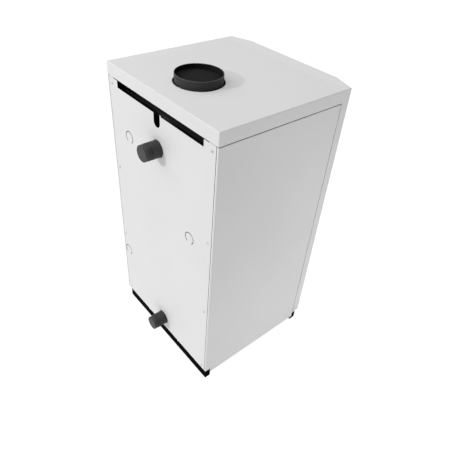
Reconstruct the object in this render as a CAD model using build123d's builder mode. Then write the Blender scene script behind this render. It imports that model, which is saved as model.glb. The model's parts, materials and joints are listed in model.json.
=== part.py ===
from build123d import *
import os

# Floor-standing gas boiler with a welded steel heat exchanger and an open flue.
# Millimetres, +Z up. The front faces -Y, and +X is the right-hand side seen from the front.
# The origin is on the floor, under the middle of the box round the whole object.

# Driving dimensions of the casing
half_width = 247
rear_face = 214
seam = -210
lid_top = 930
lid_height = 36.5
sheet = 1.2
bend = 2.5
gap = 1.0
panel_back = seam - gap / 2
lid_front = panel_back + 0.3
panel_sheet = 1.5
panel_strip = 29
panel_bulge = 25
bulge_half_width = 176
front_bottom = 41
side_bottom = 20
side_top = lid_top - lid_height - 1.5

# Driving dimensions of the base rails: each runs from one X to another, and from one Y back
rear_rail_ends = (-246, 228)
rear_rail_depth = 21
front_rail_ends = (-243, 243)
front_rail_depth = 25
front_rail_front = -229.5
rail_height = 38
rail_wall = 2
rail_corner = 2.5
plug_head = 3
floor_sheet = 1.5
floor_top = rail_height + floor_sheet

# Driving dimensions of the rear panel
rear_sheet = 1.0
rear_half = 240
rear_bottom = rail_height + 0.5
slot_half = 194
slot_bottom = 871
slot_top = 891
thin_slot_half = 213
notch_radius = 14
notch_bottom = 835
notch_tab = 5
knockouts = [(148.5, 739), (-145.5, 561.5), (216.5, 253)]
knockout_radius = 18
knockout_slit = 1.6
knockout_bridge = 20
screw_x = 225
screw_heights = [52, 326, 600, 874]
screw_hole = 2.2

# Driving dimensions of the pipes and the flue
pipe_radius = 24.15
pipe_bore = 20.95
pipe_end = 264
flow_height = 773
return_height = 84
collar_radius = 65
collar_wall = 1.5
collar_rise = 23
flue_y = 82
lid_hole_radius = 69.5

# Driving dimensions of the heat exchanger
shell_half = 185
shell_front = -115
shell_rear = 175
shell_bottom = 56
shell_top = 800
shell_wall = 4
furnace_half = 160
furnace_rear = 150
furnace_top = 300
top_plate = 6
top_plate_half = 200
top_plate_rear = 192
flueway_columns = [-112, -46, 46, 112]
flueway_half = 17
lagging = 12

# Driving dimensions of the controls
fascia_half = 116
fascia_low = 154
fascia_high = 326
fascia_front = -240
control_height = 215
knob_x = -50
igniter_x = 55
gauge_height = 285
knob_travel = 6
gas_y = -168
gas_height = 253
gas_pipe_radius = 10.65
burner_height = 130
burner_columns = [-90, 0, 90]

UP = (0, 0, 1)
DOWN = (0, 0, -1)
BACK = (0, 1, 0)
FRONT = (0, -1, 0)
RIGHT = (1, 0, 0)
LEFT = (-1, 0, 0)

os.makedirs("parts", exist_ok=True)


def block(low, high, mode=Mode.ADD):
    """A box between two opposite corners, in the piece being built."""
    with Locations(tuple((a + b) / 2 for a, b in zip(low, high))):
        Box(*[abs(b - a) for a, b in zip(low, high)], mode=mode)


def rod(start, along, radius, length, mode=Mode.ADD):
    """A round bar that starts at a point and runs along a direction."""
    with Locations(Plane(origin=start, z_dir=along)):
        Cylinder(radius, length, align=(Align.CENTER, Align.CENTER, Align.MIN), mode=mode)


def keep(piece, node):
    """Label a finished piece and write it under its node's name."""
    piece.part.label = node
    export_step(piece.part, f"parts/{node}.step")


# Base: two box-section rails with end plugs, and the floor plate across them
def base_rail(front, depth, ends):
    with BuildPart() as rail:
        with BuildSketch(Plane.YZ.offset(ends[0] + plug_head)):
            with Locations((front + depth / 2, rail_height / 2)):
                RectangleRounded(depth, rail_height, rail_corner)
                RectangleRounded(
                    depth - 2 * rail_wall,
                    rail_height - 2 * rail_wall,
                    rail_corner - rail_wall,
                    mode=Mode.SUBTRACT,
                )
        extrude(amount=ends[1] - ends[0] - 2 * plug_head)
    return rail


rear_rail = (rear_face - gap - rear_rail_depth, rear_rail_depth, rear_rail_ends)
front_rail = (front_rail_front, front_rail_depth, front_rail_ends)
rear_base_rail = base_rail(*rear_rail)
front_base_rail = base_rail(*front_rail)
keep(rear_base_rail, "rear_base_rail")
keep(front_base_rail, "front_base_rail")

plug_fit = rail_wall + 0.8
plug_depth = 12
with BuildPart() as rail_end_plugs:
    for front, depth, ends in (rear_rail, front_rail):
        for end, inward in ((ends[0], 1), (ends[1], -1)):
            tube_end = end + inward * plug_head
            head_x = sorted([end, tube_end])
            block((head_x[0], front, 0), (head_x[1], front + depth, rail_height))
            spigot_x = sorted([tube_end, tube_end + inward * plug_depth])
            block(
                (spigot_x[0], front + plug_fit, plug_fit),
                (spigot_x[1], front + depth - plug_fit, rail_height - plug_fit),
            )
    long_edges = rail_end_plugs.edges().filter_by(Axis.X)
    fillet([edge for edge in long_edges if edge.length < plug_depth / 2], rail_corner)
keep(rail_end_plugs, "rail_end_plugs")

air_gap_front = -45
air_gap_rear = 60
with BuildPart() as floor_plate:
    for low_y, high_y in (
        (front_rail_front, air_gap_front),
        (air_gap_rear, rear_face - rear_sheet - sheet),
    ):
        block((-half_width + sheet, low_y, rail_height), (half_width - sheet, high_y, floor_top))
keep(floor_plate, "floor_plate")

# Side panels: a folded tray each, open inwards, with a notch for the rear rail's end
front_flange = 22
rear_flange = 30
top_flange = 16
side_notch_depth = 23
seam_gap = 1.2
side_slots = [172, -190]
side_slot_long = 8
side_slot_low = 25.5
side_slot_high = 28
stud_x = 237
stud_heights = [110, 860]
stud_hole_radius = 5.5


def side_panel(side):
    outer = side * half_width
    inner = side * (half_width - rear_flange)
    front = seam + gap / 2
    rear = rear_face
    fold_rear = rear - rear_sheet
    low_x, high_x = sorted([outer, inner])
    past_low, past_high = sorted([side * (half_width - sheet), inner - side])
    with BuildPart() as panel:
        block((low_x, front, side_bottom), (high_x, rear, side_top))
        skin = panel.faces().sort_by(Axis.X)[-1 if side > 0 else 0]
        fillet(skin.edges().sort_by(Axis.Z)[1:], bend)
        hollow_x = sorted([outer - side * sheet, inner - side])
        block(
            (hollow_x[0], front + sheet, side_bottom + sheet),
            (hollow_x[1], fold_rear - sheet, side_top - sheet),
            Mode.SUBTRACT,
        )
        # the rear fold is set back under the rear panel, with a narrow seam beside its edge
        step_x = sorted([side * (rear_half + seam_gap), inner - side])
        block((step_x[0], fold_rear, side_bottom - 1), (step_x[1], rear + 1, side_top + 1), Mode.SUBTRACT)
        # the bottom edge is a plain edge, and the folds start above the floor plate
        block((past_low, front - 1, side_bottom - 1), (past_high, rear + 1, floor_top + 0.5), Mode.SUBTRACT)
        front_cut = sorted([side * (half_width - front_flange), inner - side])
        block(
            (front_cut[0], front - 1, floor_top),
            (front_cut[1], front + sheet, side_top + 1),
            Mode.SUBTRACT,
        )
        top_cut = sorted([side * (half_width - top_flange), inner - side])
        block(
            (top_cut[0], front - 1, side_top - sheet),
            (top_cut[1], fold_rear - sheet, side_top + 1),
            Mode.SUBTRACT,
        )
        skin_x = sorted([outer + side, side * (half_width - sheet - 1)])
        block(
            (skin_x[0], rear - side_notch_depth, side_bottom - 1),
            (skin_x[1], rear + 1, rear_bottom),
            Mode.SUBTRACT,
        )
        for y in side_slots:
            block(
                (skin_x[0], y - side_slot_long / 2, side_slot_low),
                (skin_x[1], y + side_slot_long / 2, side_slot_high),
                Mode.SUBTRACT,
            )
        for height in screw_heights:
            rod((side * screw_x, rear + 1, height), FRONT, screw_hole, 4, Mode.SUBTRACT)
        for height in stud_heights:
            rod((side * stud_x, front - 1, height), BACK, stud_hole_radius, 4, Mode.SUBTRACT)
        for x, height in knockouts:
            if side * x > half_width - rear_flange - knockout_radius:
                rod((x, rear + 1, height), FRONT, knockout_radius + 3, 4, Mode.SUBTRACT)
    return panel


left_side_panel = side_panel(-1)
right_side_panel = side_panel(1)
keep(left_side_panel, "left_side_panel")
keep(right_side_panel, "right_side_panel")

# Rear panel: a flat sheet with the draught slot, the notch, the knock-outs and the pipe holes
pipe_hole_radius = 25.4
tab_columns = [96, -87]
tab_width = 6
tab_drop = 4
ear_top = side_top + 0.8
with BuildPart() as rear_panel:
    with BuildSketch(Plane.XZ.offset(-rear_face)):
        with Locations((0, (rear_bottom + ear_top) / 2)):
            Rectangle(2 * rear_half, ear_top - rear_bottom)
        with Locations((0, (slot_top + ear_top + 1) / 2)):
            Rectangle(2 * thin_slot_half, ear_top + 1 - slot_top, mode=Mode.SUBTRACT)
        with Locations((0, (slot_bottom + slot_top + 1) / 2)):
            Rectangle(2 * slot_half, slot_top + 1 - slot_bottom, mode=Mode.SUBTRACT)
        with Locations((0, notch_bottom + notch_radius)):
            Circle(notch_radius, mode=Mode.SUBTRACT)
        with Locations((0, (notch_bottom + notch_radius + slot_bottom + 1) / 2)):
            Rectangle(2 * notch_radius, slot_bottom + 1 - notch_bottom - notch_radius, mode=Mode.SUBTRACT)
        with Locations((-notch_radius - notch_tab / 2, slot_bottom + notch_tab / 2 - 1)):
            Rectangle(notch_tab, notch_tab)
        with Locations(*[(x, rear_bottom) for x in tab_columns]):
            Rectangle(tab_width, 2 * tab_drop)
        with Locations((0, flow_height), (0, return_height)):
            Circle(pipe_hole_radius, mode=Mode.SUBTRACT)
        with Locations(*[(side * screw_x, height) for side in (-1, 1) for height in screw_heights]):
            Circle(screw_hole, mode=Mode.SUBTRACT)
        with Locations(*knockouts):
            Circle(knockout_radius + knockout_slit / 2, mode=Mode.SUBTRACT)
            Circle(knockout_radius - knockout_slit / 2)
        with Locations(*[(x, height - knockout_radius + 1) for x, height in knockouts]):
            Rectangle(knockout_bridge, 6)
    extrude(amount=rear_sheet)
keep(rear_panel, "rear_panel")

screw_shank = 1.9
screw_long = 10
screw_head = 4.3
screw_proud = 2
cross_half = 2.4
cross_slit = 0.9
cross_floor = rear_face + 0.8
with BuildPart() as rear_panel_screws:
    for side in (-1, 1):
        for height in screw_heights:
            rod((side * screw_x, rear_face - screw_long, height), BACK, screw_shank, screw_long)
            rod((side * screw_x, rear_face, height), BACK, screw_head, screw_proud)
    domes = rear_panel_screws.edges().filter_by(GeomType.CIRCLE).group_by(Axis.Y)[-1]
    fillet(domes, 1.4)
    for side in (-1, 1):
        for height in screw_heights:
            x = side * screw_x
            for half_x, half_z in ((cross_half, cross_slit / 2), (cross_slit / 2, cross_half)):
                block(
                    (x - half_x, cross_floor, height - half_z),
                    (x + half_x, rear_face + screw_proud + 1, height + half_z),
                    Mode.SUBTRACT,
                )
keep(rear_panel_screws, "rear_panel_screws")

# Top cover: a folded tray turned down over the casing, with the flue hole and return folds
lid_bottom = lid_top - lid_height
return_fold = 12
with BuildPart() as top_cover:
    block((-half_width, lid_front, lid_bottom), (half_width, rear_face, lid_top))
    fillet(top_cover.edges().filter_by(Axis.Z).group_by(Axis.Y)[-1], bend)
    lid_rim = top_cover.faces().sort_by(Axis.Z)[-1].edges()
    fillet([edge for edge in lid_rim if edge.center().Y > lid_front + 1], bend)
    block(
        (-half_width + sheet, lid_front + sheet, lid_bottom - 1),
        (half_width - sheet, rear_face - sheet, lid_top - sheet),
        Mode.SUBTRACT,
    )
    for side in (-1, 1):
        fold_x = sorted([side * (half_width - sheet / 2), side * (half_width - return_fold)])
        block(
            (fold_x[0], lid_front + 8, lid_bottom),
            (fold_x[1], rear_face - 8, lid_bottom + sheet),
        )
    rod((0, flue_y, lid_top + 1), DOWN, lid_hole_radius, 4, Mode.SUBTRACT)
keep(top_cover, "top_cover")

pad_thick = lid_bottom - side_top
with BuildPart() as lid_rest_pads:
    for side in (-1, 1):
        for y in (lid_front + 40, rear_face - 60):
            pad_x = sorted([side * (half_width - 4), side * (half_width - return_fold)])
            block((pad_x[0], y, side_top), (pad_x[1], y + 20, side_top + pad_thick))
keep(lid_rest_pads, "lid_rest_pads")

# Front panel: a full-height tray with a shallow bulge, its window and its return folds
strip_front = seam - panel_strip
bulge_front = strip_front - panel_bulge
panel_fold = 20
bulge_bend = 8
window_clear = 2
plan = [
    (-half_width, panel_back),
    (-half_width, strip_front),
    (-bulge_half_width, bulge_front),
    (bulge_half_width, bulge_front),
    (half_width, strip_front),
    (half_width, panel_back),
]
with BuildPart() as front_panel:
    with BuildSketch(Plane.XY.offset(front_bottom)):
        with BuildLine():
            Polyline(*plan, close=True)
        make_face()
    extrude(amount=lid_top - front_bottom)
    upright = front_panel.edges().filter_by(Axis.Z).sort_by(Axis.Y)
    fillet(upright[:2], bulge_bend)
    fillet(front_panel.edges().filter_by(Axis.Z).group_by(Axis.Y)[-2], bend)
    outline = [front_panel.faces().sort_by(Axis.Z)[end].edges() for end in (-1, 0)]
    rims = [edge for edges in outline for edge in edges if edge.center().Y < panel_back - 1]
    fillet(rims, bend)
    with BuildSketch(Plane.XY.offset(front_bottom + panel_sheet)):
        with BuildLine():
            Polyline(*plan, close=True)
        make_face()
        offset(amount=-panel_sheet, kind=Kind.INTERSECTION)
        with Locations((0, panel_back)):
            Rectangle(2 * (half_width - panel_sheet), 4 * panel_sheet)
    extrude(amount=lid_top - front_bottom - 2 * panel_sheet, mode=Mode.SUBTRACT)
    for side in (-1, 1):
        fold_x = sorted([side * (half_width - panel_sheet / 2), side * (half_width - panel_fold)])
        block(
            (fold_x[0], panel_back - panel_sheet, front_bottom + panel_fold),
            (fold_x[1], panel_back, lid_top - panel_fold),
        )
    block(
        (-fascia_half - window_clear, bulge_front - 1, fascia_low - window_clear),
        (fascia_half + window_clear, bulge_front + 10, fascia_high + window_clear),
        Mode.SUBTRACT,
    )
keep(front_panel, "front_panel")

ball_radius = 4
stud_long = 13
with BuildPart() as front_panel_studs:
    for side in (-1, 1):
        for height in stud_heights:
            rod((side * stud_x, panel_back, height), BACK, 2.5, stud_long)
            with Locations((side * stud_x, panel_back + stud_long, height)):
                Sphere(ball_radius)
keep(front_panel_studs, "front_panel_studs")

clip_back = seam + gap / 2 + sheet
clip_leaf = 0.8
clip_long = 18
clip_half = 6
with BuildPart() as front_panel_clips:
    for side in (-1, 1):
        for height in stud_heights:
            x = side * stud_x
            reach = ball_radius + 0.4 + clip_leaf
            block(
                (x - clip_half, clip_back, height - 2 * clip_half),
                (x + clip_half, clip_back + clip_leaf, height + 2 * clip_half),
            )
            rod((x, clip_back - 1, height), BACK, stud_hole_radius, 4, Mode.SUBTRACT)
            for leaf_low in (height + reach - clip_leaf, height - reach):
                block(
                    (x - clip_half, clip_back, leaf_low),
                    (x + clip_half, clip_back + clip_long, leaf_low + clip_leaf),
                )
keep(front_panel_clips, "front_panel_clips")

# Control panel: a moulded fascia on a crossbar between the side panels' front folds
bracket_thick = 1.5
bracket_rear = clip_back + bracket_thick
valve_x = knob_x
gauge_case_radius = 26
with BuildPart() as control_bracket:
    block(
        (-half_width + sheet + gap, clip_back, fascia_low - 12),
        (half_width - sheet - gap, bracket_rear, fascia_high + 14),
    )
    rod((0, clip_back - 1, gauge_height), BACK, gauge_case_radius + 1.5, 4, Mode.SUBTRACT)
    rod((knob_x, clip_back - 1, control_height), BACK, 9, 4, Mode.SUBTRACT)
    rod((igniter_x, clip_back - 1, control_height), BACK, 10, 4, Mode.SUBTRACT)
keep(control_bracket, "control_bracket")

fascia_wall = 2.5
igniter_radius = 9
knob_radius = 23
with BuildPart() as control_panel:
    block((-fascia_half, fascia_front, fascia_low), (fascia_half, clip_back, fascia_high))
    fillet(control_panel.edges().filter_by(Axis.Y), 10)
    fillet(control_panel.faces().sort_by(Axis.Y)[0].edges(), 3)
    offset(amount=-fascia_wall, openings=control_panel.faces().sort_by(Axis.Y)[-1])
    rod((0, fascia_front - 1, gauge_height), BACK, gauge_case_radius + 0.2, 5, Mode.SUBTRACT)
    rod((knob_x, fascia_front - 1, control_height), BACK, 6, 5, Mode.SUBTRACT)
    rod((igniter_x, fascia_front - 1, control_height), BACK, igniter_radius + 0.2, 5, Mode.SUBTRACT)
keep(control_panel, "control_panel")

# Thermometer: a round case with a dial, a needle on its spindle and a domed lens
bezel_radius = 30
bezel_proud = 3.5
dial_y = fascia_front + 4
needle_y = fascia_front + 1.2
with BuildPart() as thermometer_case:
    rod((0, fascia_front, gauge_height), BACK, gauge_case_radius, 34)
    rod((0, fascia_front, gauge_height), FRONT, bezel_radius, bezel_proud)
    fillet(thermometer_case.faces().sort_by(Axis.Y)[0].edges(), 1.5)
    rod(
        (0, fascia_front - bezel_proud, gauge_height),
        BACK,
        gauge_case_radius - 1.5,
        bezel_proud + 32,
        Mode.SUBTRACT,
    )
keep(thermometer_case, "thermometer_case")

with BuildPart() as thermometer_dial:
    rod((0, dial_y, gauge_height), BACK, gauge_case_radius - 1.6, 1)
    rod((0, dial_y + 1, gauge_height), BACK, 8, 20)
    rod((0, dial_y, gauge_height), BACK, 1.6, 8, Mode.SUBTRACT)
keep(thermometer_dial, "thermometer_dial")

needle_reach = 19
needle_turn = 80
with BuildPart() as thermometer_needle:
    rod((0, needle_y, gauge_height), BACK, 1.55, dial_y + 6 - needle_y)
    rod((0, needle_y, gauge_height), BACK, 3.2, 1.2)
    with BuildSketch(Plane(origin=(0, needle_y + 0.8, gauge_height), z_dir=FRONT, x_dir=RIGHT)):
        Polygon(
            (-1.4, -6),
            (1.4, -6),
            (0.5, needle_reach),
            (-0.5, needle_reach),
            rotation=needle_turn,
            align=None,
        )
    extrude(amount=0.8)
keep(thermometer_needle, "thermometer_needle")

with BuildPart() as thermometer_lens:
    rod((0, fascia_front - bezel_proud + 0.8, gauge_height), BACK, gauge_case_radius - 1.6, 1.5)
keep(thermometer_lens, "thermometer_lens")

# Gas valve with its turning and pressing control knob
valve_front = -196
valve_rear = -140
valve_low = 190
valve_high = 268
valve_half = 48
inlet_boss = 14
outlet_boss = 13
spindle_boss = 16
governor_boss = 9
spindle_radius = 4
with BuildPart() as gas_valve_body:
    block((valve_x - valve_half, valve_front, valve_low), (valve_x + valve_half, valve_rear, valve_high))
    fillet(gas_valve_body.edges().filter_by(Axis.Z), 5)
    fillet(gas_valve_body.faces().sort_by(Axis.Z)[-1].edges(), 3)
    rod((valve_x + valve_half - 2, gas_y, gas_height), RIGHT, inlet_boss, 14)
    rod((valve_x, gas_y, valve_low + 2), DOWN, outlet_boss, 12)
    rod((valve_x, valve_front + 2, control_height), FRONT, spindle_boss, 8)
    rod((valve_x - 30, gas_y, valve_high - 2), UP, governor_boss, 12)
    rod((valve_x + valve_half + 14, gas_y, gas_height), LEFT, gas_pipe_radius, 20, Mode.SUBTRACT)
    rod((valve_x, gas_y, valve_low - 11), UP, 8, 20, Mode.SUBTRACT)
    rod((valve_x, valve_front - 7, control_height), BACK, spindle_radius + 0.05, 30, Mode.SUBTRACT)
keep(gas_valve_body, "gas_valve_body")

knob_back = fascia_front - knob_travel - gap
knob_front = bulge_front + gap
spindle_tip = knob_front + 5
spindle_flat = 2.6
with BuildPart() as gas_spindle:
    rod((knob_x, spindle_tip, control_height), BACK, spindle_radius, valve_front + 18 - spindle_tip)
    block(
        (knob_x - spindle_radius, spindle_tip - 1, control_height + spindle_flat),
        (knob_x + spindle_radius, knob_back + knob_travel + 2, control_height + spindle_radius + 1),
        Mode.SUBTRACT,
    )
keep(gas_spindle, "gas_spindle")

grip_count = 18
hub_radius = 6.8
fit = 0.05
with BuildPart() as gas_knob:
    rod((knob_x, knob_front, control_height), BACK, knob_radius, knob_back - knob_front)
    fillet(gas_knob.faces().sort_by(Axis.Y)[0].edges(), 2)
    with BuildSketch(Plane.XZ.offset(-knob_front)):
        with Locations((knob_x, control_height)):
            with PolarLocations(knob_radius + 1.2, grip_count):
                Circle(2.2)
    extrude(amount=-(knob_back - knob_front), mode=Mode.SUBTRACT)
    knob_hollow = knob_back - knob_front - 2
    rod((knob_x, knob_back + 1, control_height), FRONT, knob_radius - 4.5, knob_hollow, Mode.SUBTRACT)
    rod((knob_x, knob_back, control_height), FRONT, hub_radius, knob_hollow)
    spindle_bore = knob_back - spindle_tip + knob_travel + 1.5
    rod((knob_x, knob_back + 1, control_height), FRONT, spindle_radius + fit, spindle_bore, Mode.SUBTRACT)
    block(
        (knob_x - spindle_radius, spindle_tip - knob_travel, control_height + spindle_flat + fit),
        (knob_x + spindle_radius, knob_back, control_height + spindle_radius + 0.4),
    )
keep(gas_knob, "gas_knob")


def coil(start, along, turn_radius, wire, pitch, turns):
    """One unbroken coil spring whose first turn starts at a point."""
    with BuildPart() as spring:
        with BuildLine():
            turn = Helix(pitch, pitch * turns, turn_radius, center=start, direction=along)
        with BuildSketch(Plane(origin=turn @ 0, z_dir=turn % 0)):
            Circle(wire / 2)
        sweep()
    return spring


knob_spring = coil((knob_x, fascia_front - 0.6, control_height), FRONT, 9.5, 1.0, 2.4, 4)
keep(knob_spring, "gas_knob_spring")

# Push-button igniter
igniter_nut = 13
button_radius = 6
button_front = fascia_front - 11
with BuildPart() as igniter_body:
    rod((igniter_x, fascia_front, control_height), BACK, igniter_radius, 46)
    rod((igniter_x, fascia_front, control_height), FRONT, igniter_nut, 3)
    fillet(igniter_body.faces().sort_by(Axis.Y)[0].edges(), 1)
    rod((igniter_x, fascia_front - 4, control_height), BACK, button_radius + 0.3, 24, Mode.SUBTRACT)
    rod((igniter_x, fascia_front + 45, control_height), BACK, 2, 8)
keep(igniter_body, "igniter_body")

with BuildPart() as igniter_button:
    rod((igniter_x, button_front, control_height), BACK, button_radius, 18)
    fillet(igniter_button.faces().sort_by(Axis.Y)[0].edges(), 1.5)
keep(igniter_button, "igniter_button")

# Gas way: inlet pipe from behind the lowest knock-out, riser, manifold and injectors
gas_pipe_bore = 8
inlet_x = knockouts[-1][0]
inlet_bend = 36
inlet_end = 196
with BuildPart() as gas_inlet_pipe:
    with BuildLine():
        run = FilletPolyline(
            (valve_x + valve_half + 2, gas_y, gas_height),
            (inlet_x, gas_y, gas_height),
            (inlet_x, inlet_end, gas_height),
            radius=inlet_bend,
        )
    with BuildSketch(Plane(origin=run @ 0, z_dir=run % 0)):
        Circle(gas_pipe_radius)
        Circle(gas_pipe_bore, mode=Mode.SUBTRACT)
    sweep()
keep(gas_inlet_pipe, "gas_inlet_pipe")

manifold_half = 128
manifold_radius = 11
manifold_bore = 8.5
manifold_end = 3
riser_radius = 8
riser_bore = 5.5
with BuildPart() as gas_manifold:
    rod((-manifold_half, gas_y, burner_height), RIGHT, manifold_radius, 2 * manifold_half)
    rod((valve_x, gas_y, burner_height), UP, riser_radius, valve_low - burner_height)
    bore_start = manifold_end - manifold_half
    rod((bore_start, gas_y, burner_height), RIGHT, manifold_bore, -2 * bore_start, Mode.SUBTRACT)
    rod((valve_x, gas_y, burner_height), UP, riser_bore, valve_low - burner_height, Mode.SUBTRACT)
    for x in burner_columns:
        rod((x, gas_y, burner_height), BACK, 3.5, manifold_radius + 1, Mode.SUBTRACT)
keep(gas_manifold, "gas_manifold")

with BuildPart() as gas_injectors:
    for x in burner_columns:
        rod((x, gas_y + 8.2, burner_height), BACK, 3.4, 8)
        with BuildSketch(Plane(origin=(x, gas_y + manifold_radius, burner_height), z_dir=BACK)):
            RegularPolygon(7, 6)
        extrude(amount=8)
        rod((x, gas_y + manifold_radius + 8, burner_height), BACK, 4, 5)
        rod((x, gas_y + 8, burner_height), BACK, 0.9, 30, Mode.SUBTRACT)
keep(gas_injectors, "gas_injectors")

# Burner: three channels with slotted port plates, through the plate that closes the furnace
burner_half = 20
burner_low = 112
burner_high = 150
burner_sheet = 1.5
burner_front = -142
burner_rear = 125
port_count = 22
port_pitch = 9
port_long = 26
port_wide = 2.5
with BuildPart() as burner_channels:
    for x in burner_columns:
        block((x - burner_half, burner_front, burner_low), (x + burner_half, burner_rear, burner_high))
        block(
            (x - burner_half + burner_sheet, burner_front - 1, burner_low + burner_sheet),
            (x + burner_half - burner_sheet, burner_rear - burner_sheet, burner_high + 1),
            Mode.SUBTRACT,
        )
keep(burner_channels, "burner_channels")

with BuildPart() as burner_port_plates:
    for x in burner_columns:
        block(
            (x - burner_half, burner_front, burner_high),
            (x + burner_half, burner_rear, burner_high + burner_sheet),
        )
    with BuildSketch(Plane.XY.offset(burner_high)):
        with Locations(*[(x, 10) for x in burner_columns]):
            with GridLocations(1, port_pitch, 1, port_count):
                Rectangle(port_long, port_wide)
    extrude(amount=burner_sheet, mode=Mode.SUBTRACT)
keep(burner_port_plates, "burner_port_plates")

burner_fit = 0.3
plate_thick = 3
plate_half = 170
plate_low = 58
plate_high = 310
sight_x = 118
sight_height = 245
sight_radius = 14
with BuildPart() as burner_plate:
    block((-plate_half, shell_front - plate_thick, plate_low), (plate_half, shell_front, plate_high))
    for x in burner_columns:
        block(
            (x - burner_half - burner_fit, shell_front - 4, burner_low - burner_fit),
            (x + burner_half + burner_fit, shell_front + 1, burner_high + burner_sheet + burner_fit),
            Mode.SUBTRACT,
        )
    rod((sight_x, shell_front - 4, sight_height), BACK, sight_radius, 8, Mode.SUBTRACT)
keep(burner_plate, "burner_plate")

with BuildPart() as sight_glass:
    rod((sight_x, shell_front - plate_thick, sight_height), BACK, sight_radius - 0.2, plate_thick)
keep(sight_glass, "sight_glass")

frame_thick = 2.5
flap_thick = 2
flap_radius = 16
pin_height = sight_height + 22
with BuildPart() as sight_glass_frame:
    rod((sight_x, shell_front - plate_thick, sight_height), FRONT, 20, frame_thick)
    block(
        (sight_x - 6, shell_front - plate_thick - frame_thick, sight_height),
        (sight_x + 6, shell_front - plate_thick, pin_height + 6),
    )
    rod((sight_x, shell_front - plate_thick + 1, sight_height), FRONT, 12, 5, Mode.SUBTRACT)
    rod((sight_x, shell_front - plate_thick - frame_thick, pin_height), FRONT, 2.5, 5)
    rod((sight_x, shell_front - plate_thick - frame_thick - 4, pin_height), FRONT, 4.5, 1.5)
keep(sight_glass_frame, "sight_glass_frame")

flap_back = shell_front - plate_thick - frame_thick - 0.6
with BuildPart() as sight_flap:
    rod((sight_x, flap_back, sight_height), FRONT, flap_radius, flap_thick)
    block((sight_x - 5, flap_back - flap_thick, sight_height), (sight_x + 5, flap_back, pin_height))
    rod((sight_x, flap_back, pin_height), FRONT, 5, flap_thick)
    rod((sight_x, flap_back - 1, sight_height - 11), FRONT, 2.5, 7)
    rod((sight_x, flap_back + 1, pin_height), FRONT, 2.55, 6, Mode.SUBTRACT)
keep(sight_flap, "sight_flap")

# Pilot group on the inside of the burner plate
pilot_x = 45
pilot_y = shell_front + 20
pilot_height = 168
pilot_half = 16
pilot_flange = 14
pilot_arm = 30
pilot_sheet = 2
probe_offset = 10
probe_radius = 2.5
with BuildPart() as pilot_burner:
    block(
        (pilot_x - pilot_half, shell_front, pilot_height - pilot_flange),
        (pilot_x + pilot_half, shell_front + pilot_sheet, pilot_height + pilot_flange),
    )
    block(
        (pilot_x - pilot_half, shell_front, pilot_height - pilot_sheet),
        (pilot_x + pilot_half, shell_front + pilot_arm, pilot_height),
    )
    rod((pilot_x, pilot_y, pilot_height), UP, 5, 18)
    rod((pilot_x, pilot_y, pilot_height + 4), UP, 3, 16, Mode.SUBTRACT)
    for side in (-1, 1):
        probe_x = pilot_x + side * probe_offset
        rod((probe_x, pilot_y, pilot_height - 3), UP, probe_radius + 0.1, 6, Mode.SUBTRACT)
keep(pilot_burner, "pilot_burner")

with BuildPart() as thermocouple:
    rod((pilot_x - probe_offset, pilot_y, pilot_height - 16), UP, probe_radius, 42)
    fillet(thermocouple.faces().sort_by(Axis.Z)[-1].edges(), 1.2)
keep(thermocouple, "thermocouple")

with BuildPart() as ignition_electrode:
    rod((pilot_x + probe_offset, pilot_y, pilot_height - 20), UP, probe_radius, 34)
    rod((pilot_x + probe_offset, pilot_y, pilot_height + 13), UP, 0.9, 12)
keep(ignition_electrode, "ignition_electrode")

# Feet that carry the heat exchanger on the floor plate
foot_web = 4
foot_long = 60
with BuildPart() as exchanger_feet:
    for side in (-1, 1):
        for y in (shell_front + 2, shell_rear - foot_long - 2):
            web_x = sorted([side * (shell_half - 2), side * (shell_half - 2 - foot_web)])
            toe_x = sorted([side * (shell_half - 2), side * (shell_half - 28)])
            block((web_x[0], y, floor_top), (web_x[1], y + foot_long, shell_bottom))
            block((toe_x[0], y, floor_top), (toe_x[1], y + foot_long, floor_top + foot_web))
keep(exchanger_feet, "exchanger_feet")

# Heat exchanger: welded outer walls, with the furnace and four upright flueways inside them
with BuildPart() as exchanger_side_walls:
    for side in (-1, 1):
        wall_x = sorted([side * shell_half, side * (shell_half - shell_wall)])
        block((wall_x[0], shell_front, shell_bottom), (wall_x[1], shell_rear, shell_top))
keep(exchanger_side_walls, "exchanger_side_walls")

inner_half = shell_half - shell_wall
with BuildPart() as exchanger_rear_wall:
    block((-inner_half, shell_rear - shell_wall, shell_bottom), (inner_half, shell_rear, shell_top))
    for height in (flow_height, return_height):
        rod((0, shell_rear - shell_wall - 1, height), BACK, pipe_bore, shell_wall + 2, Mode.SUBTRACT)
keep(exchanger_rear_wall, "exchanger_rear_wall")

with BuildPart() as exchanger_front_wall:
    block((-inner_half, shell_front, furnace_top), (inner_half, shell_front + shell_wall, shell_top))
    for side in (-1, 1):
        strip_x = sorted([side * inner_half, side * furnace_half])
        block((strip_x[0], shell_front, shell_bottom), (strip_x[1], shell_front + shell_wall, shell_top))
keep(exchanger_front_wall, "exchanger_front_wall")

flueway_outer = flueway_half + shell_wall
with BuildPart() as fire_side_walls:
    for side in (-1, 1):
        wall_x = sorted([side * furnace_half, side * (furnace_half - shell_wall)])
        block((wall_x[0], shell_front + shell_wall, shell_bottom), (wall_x[1], furnace_rear, furnace_top))
    for x in flueway_columns:
        for inner, outer in ((x - flueway_half, x - flueway_outer), (x + flueway_half, x + flueway_outer)):
            wall_x = sorted([inner, outer])
            block(
                (wall_x[0], shell_front + shell_wall, furnace_top - shell_wall),
                (wall_x[1], furnace_rear - shell_wall, shell_top),
            )
keep(fire_side_walls, "fire_side_walls")

with BuildPart() as furnace_rear_wall:
    block(
        (-furnace_half + shell_wall, furnace_rear - shell_wall, shell_bottom),
        (furnace_half - shell_wall, furnace_rear, furnace_top - shell_wall),
    )
keep(furnace_rear_wall, "furnace_rear_wall")

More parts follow.
